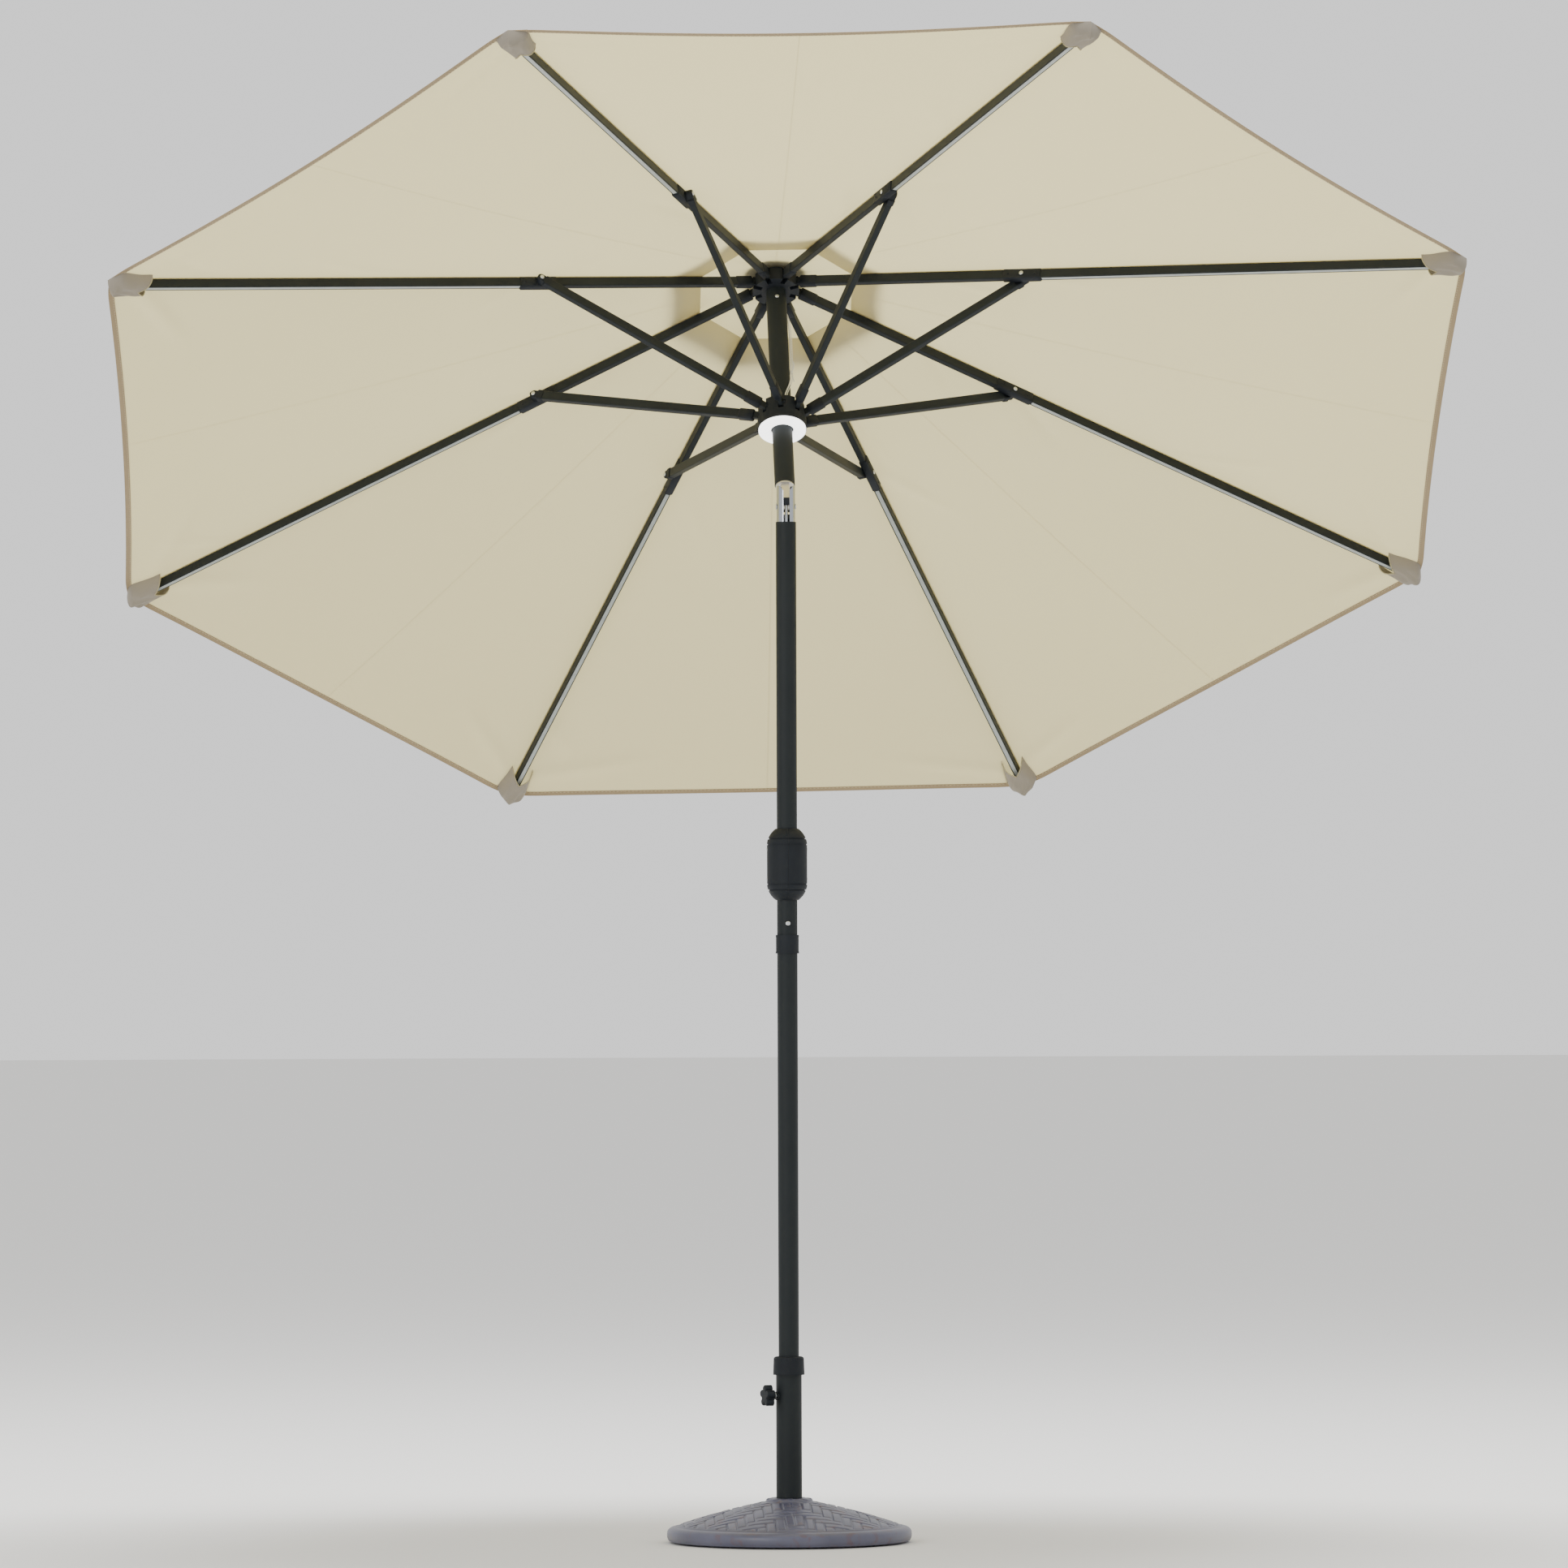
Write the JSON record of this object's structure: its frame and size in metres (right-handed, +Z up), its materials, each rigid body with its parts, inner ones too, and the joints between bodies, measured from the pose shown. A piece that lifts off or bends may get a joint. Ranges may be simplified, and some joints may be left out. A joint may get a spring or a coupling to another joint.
{
  "type": "patio umbrella with base",
  "caption": "Tilting market umbrella with a vented canopy, lit ribs and a ring light, raised by a crank, standing in a domed cast base with a clamp knob.",
  "frame": {"origin": "on the ground, at the centre of the base, under the pole", "axes": "+Z up along the pole; +Y towards the side that the canopy leans; +X to the right seen from -Y"},
  "size_m": [2.524, 2.1456, 2.7421],
  "materials": {
    "cast_resin": "cast resin, satin, dark bronze-grey paint",
    "foot_rubber": "moulded rubber",
    "powder_coat": "charcoal powder coat",
    "black_plastic": "moulded black nylon",
    "bright_chrome": "bright plated",
    "satin_steel": "zinc-plated steel",
    "canopy_cloth": "woven beige polyester",
    "led_diffuser": "frosted diffuser",
    "led_ring": "lit diffuser",
    "solar_glass": "dark solar cell under glass",
    "white_cord": "braided polyester cord"
  },
  "bodies": {
    "root": {"base_slab": "cast_resin", "base_feet": "foot_rubber", "base_tube": "powder_coat", "base_collar": "black_plastic"},
    "knob": {"base_knob": "black_plastic"},
    "pole": {"lower_pole": "powder_coat", "pole_joiner": "satin_steel", "mid_collar": "black_plastic", "mid_pole": "powder_coat", "crank_housing_left": "black_plastic", "crank_housing_right": "black_plastic", "lower_knuckle": "bright_chrome", "tilt_pin": "satin_steel"},
    "button": {"snap_button": "bright_chrome"},
    "crank": {"crank_spool": "satin_steel", "crank_arm": "powder_coat"},
    "grip": {"crank_grip": "black_plastic"},
    "latch": {"tilt_latch": "black_plastic"},
    "upper": {"upper_knuckle": "satin_steel", "upper_pole": "powder_coat", "crown": "black_plastic", "crown_pins": "satin_steel", "solar_housing": "black_plastic", "solar_panel": "solar_glass", "lift_cord": "white_cord"},
    "pulley": {"lift_pulley": "black_plastic"},
    "runner": {"runner": "black_plastic", "led_ring_lens": "led_ring"},
    "rib_unit_1": {"rib_1": "powder_coat", "led_strip_1": "led_diffuser", "canopy_1": "canopy_cloth"},
    "strut_unit_1": {"strut_1": "powder_coat"},
    "rib_unit_2": {"rib_2": "powder_coat", "led_strip_2": "led_diffuser", "canopy_2": "canopy_cloth"},
    "strut_unit_2": {"strut_2": "powder_coat"},
    "rib_unit_3": {"rib_3": "powder_coat", "led_strip_3": "led_diffuser", "canopy_3": "canopy_cloth"},
    "strut_unit_3": {"strut_3": "powder_coat"},
    "rib_unit_4": {"rib_4": "powder_coat", "led_strip_4": "led_diffuser", "canopy_4": "canopy_cloth"},
    "strut_unit_4": {"strut_4": "powder_coat"},
    "rib_unit_5": {"rib_5": "powder_coat", "led_strip_5": "led_diffuser", "canopy_5": "canopy_cloth"},
    "strut_unit_5": {"strut_5": "powder_coat"},
    "rib_unit_6": {"rib_6": "powder_coat", "led_strip_6": "led_diffuser", "canopy_6": "canopy_cloth"},
    "strut_unit_6": {"strut_6": "powder_coat"},
    "rib_unit_7": {"rib_7": "powder_coat", "led_strip_7": "led_diffuser", "canopy_7": "canopy_cloth"},
    "strut_unit_7": {"strut_7": "powder_coat"},
    "rib_unit_8": {"rib_8": "powder_coat", "led_strip_8": "led_diffuser", "canopy_8": "canopy_cloth"},
    "strut_unit_8": {"strut_8": "powder_coat"}
  },
  "joints": [
    {"name": "base_knob_turn", "type": "hinge", "parent": "root", "child": "knob", "pos_m": [-0.03759, -0.01368, 0.273], "axis": [-0.9397, -0.342, 0], "range_deg": [0, 720]},
    {"name": "pole_lift_out", "type": "slide", "parent": "root", "child": "pole", "axis": [0, 0, 1], "range_m": [0, 0.3]},
    {"name": "snap_button_press", "type": "slide", "parent": "pole", "child": "button", "axis": [0, 1, 0], "range_m": [0, 0.004], "stiffness_N_per_m": 500},
    {"name": "crank_turn", "type": "hinge", "parent": "pole", "child": "crank", "pos_m": [0, 0, 1.2625], "axis": [0, 1, 0], "range_deg": [0, 760]},
    {"name": "crank_grip_spin", "type": "hinge", "parent": "crank", "child": "grip", "pos_m": [0, 0.07, 1.1725], "axis": [0, 1, 0], "continuous": true},
    {"name": "tilt_latch_slide", "type": "slide", "parent": "pole", "child": "latch", "axis": [0, 0, -1], "range_m": [0, 0.008], "stiffness_N_per_m": 400},
    {"name": "canopy_tilt", "type": "hinge", "parent": "pole", "child": "upper", "pos_m": [0, 0, 1.9305], "axis": [1, 0, 0], "range_deg": [0, 31.8]},
    {"name": "rib_1_fold", "type": "hinge", "parent": "upper", "child": "rib_unit_1", "pos_m": [0.03552, 0.27864, 2.35428], "axis": [-0.3551, 0.7945, -0.4926], "range_deg": [0, 9.5], "deforming": ["lift_cord", "canopy_1", "canopy_2", "canopy_3", "canopy_4", "canopy_5", "canopy_6", "canopy_7", "canopy_8"]},
    {"name": "rib_2_fold", "type": "hinge", "parent": "upper", "child": "rib_unit_2", "pos_m": [0.01558, 0.29662, 2.34313], "axis": [-0.9121, 0.3484, -0.216], "range_deg": [0, 9.6]},
    {"name": "rib_3_fold", "type": "hinge", "parent": "upper", "child": "rib_unit_3", "pos_m": [-0.01349, 0.29736, 2.34268], "axis": [-0.9348, -0.3018, 0.1871], "range_deg": [0, 9.6]},
    {"name": "rib_4_fold", "type": "hinge", "parent": "upper", "child": "rib_unit_4", "pos_m": [-0.03466, 0.28041, 2.35319], "axis": [-0.4099, -0.7752, 0.4806], "range_deg": [0, 9.6]},
    {"name": "rib_5_fold", "type": "hinge", "parent": "upper", "child": "rib_unit_5", "pos_m": [-0.03552, 0.2557, 2.36851], "axis": [0.3551, -0.7945, 0.4926], "range_deg": [0, 9.6]},
    {"name": "rib_6_fold", "type": "hinge", "parent": "upper", "child": "rib_unit_6", "pos_m": [-0.01558, 0.23771, 2.37966], "axis": [0.9121, -0.3484, 0.216], "range_deg": [0, 9.6]},
    {"name": "rib_7_fold", "type": "hinge", "parent": "upper", "child": "rib_unit_7", "pos_m": [0.01349, 0.23698, 2.38011], "axis": [0.9348, 0.3018, -0.1871], "range_deg": [0, 9.6]},
    {"name": "rib_8_fold", "type": "hinge", "parent": "upper", "child": "rib_unit_8", "pos_m": [0.03466, 0.25393, 2.3696], "axis": [0.4099, 0.7752, -0.4806], "range_deg": [0, 9.6]},
    {"name": "strut_1_swing", "type": "hinge", "parent": "rib_unit_1", "child": "strut_unit_1", "pos_m": [0.45465, 0.36313, 2.16091], "axis": [0.3551, -0.7945, 0.4926], "range_deg": [0, 16.8]},
    {"name": "strut_2_swing", "type": "hinge", "parent": "rib_unit_2", "child": "strut_unit_2", "pos_m": [0.18912, 0.58976, 2.0204], "axis": [0.9121, -0.3484, 0.216], "range_deg": [0, 16.8]},
    {"name": "strut_3_swing", "type": "hinge", "parent": "rib_unit_3", "child": "strut_unit_3", "pos_m": [-0.1872, 0.59044, 2.01998], "axis": [0.9348, 0.3018, -0.1871], "range_deg": [0, 16.8]},
    {"name": "strut_4_swing", "type": "hinge", "parent": "rib_unit_4", "child": "strut_unit_4", "pos_m": [-0.45386, 0.36476, 2.15991], "axis": [0.4099, 0.7752, -0.4806], "range_deg": [0, 16.8]},
    {"name": "strut_5_swing", "type": "hinge", "parent": "rib_unit_5", "child": "strut_unit_5", "pos_m": [-0.45465, 0.04492, 2.35821], "axis": [-0.3551, 0.7945, -0.4926], "range_deg": [0, 16.8]},
    {"name": "strut_6_swing", "type": "hinge", "parent": "rib_unit_6", "child": "strut_unit_6", "pos_m": [-0.18912, -0.18171, 2.49873], "axis": [-0.9121, 0.3484, -0.216], "range_deg": [0, 16.8]},
    {"name": "strut_7_swing", "type": "hinge", "parent": "rib_unit_7", "child": "strut_unit_7", "pos_m": [0.1872, -0.18238, 2.49914], "axis": [-0.9348, -0.3018, 0.1871], "range_deg": [0, 16.8]},
    {"name": "strut_8_swing", "type": "hinge", "parent": "rib_unit_8", "child": "strut_unit_8", "pos_m": [0.45386, 0.0433, 2.35922], "axis": [-0.4099, -0.7752, 0.4806], "range_deg": [0, 16.8]},
    {"name": "runner_slide", "type": "slide", "parent": "upper", "child": "runner", "axis": [0, -0.527, -0.8499], "range_m": [0, 0.1291]},
    {"name": "pulley_spin", "type": "hinge", "parent": "upper", "child": "pulley", "pos_m": [0, 0.24741, 2.32952], "axis": [0, 0.8499, -0.527], "range_deg": [0, 630]}
  ],
  "couplings": [
    {"joint": "rib_2_fold", "follows": "rib_1_fold", "ratio": 1},
    {"joint": "rib_3_fold", "follows": "rib_1_fold", "ratio": 1},
    {"joint": "rib_4_fold", "follows": "rib_1_fold", "ratio": 1},
    {"joint": "rib_5_fold", "follows": "rib_1_fold", "ratio": 1},
    {"joint": "rib_6_fold", "follows": "rib_1_fold", "ratio": 1},
    {"joint": "rib_7_fold", "follows": "rib_1_fold", "ratio": 1},
    {"joint": "rib_8_fold", "follows": "rib_1_fold", "ratio": 1},
    {"joint": "strut_1_swing", "follows": "rib_1_fold", "ratio": 1.7485},
    {"joint": "strut_2_swing", "follows": "rib_1_fold", "ratio": 1.7485},
    {"joint": "strut_3_swing", "follows": "rib_1_fold", "ratio": 1.7485},
    {"joint": "strut_4_swing", "follows": "rib_1_fold", "ratio": 1.7485},
    {"joint": "strut_5_swing", "follows": "rib_1_fold", "ratio": 1.7485},
    {"joint": "strut_6_swing", "follows": "rib_1_fold", "ratio": 1.7485},
    {"joint": "strut_7_swing", "follows": "rib_1_fold", "ratio": 1.7485},
    {"joint": "strut_8_swing", "follows": "rib_1_fold", "ratio": 1.7485},
    {"joint": "runner_slide", "follows": "rib_1_fold", "m_per_rad": 0.7757},
    {"joint": "crank_turn", "follows": "rib_1_fold", "ratio": 77.57},
    {"joint": "pulley_spin", "follows": "rib_1_fold", "ratio": 65.74}
  ]
}
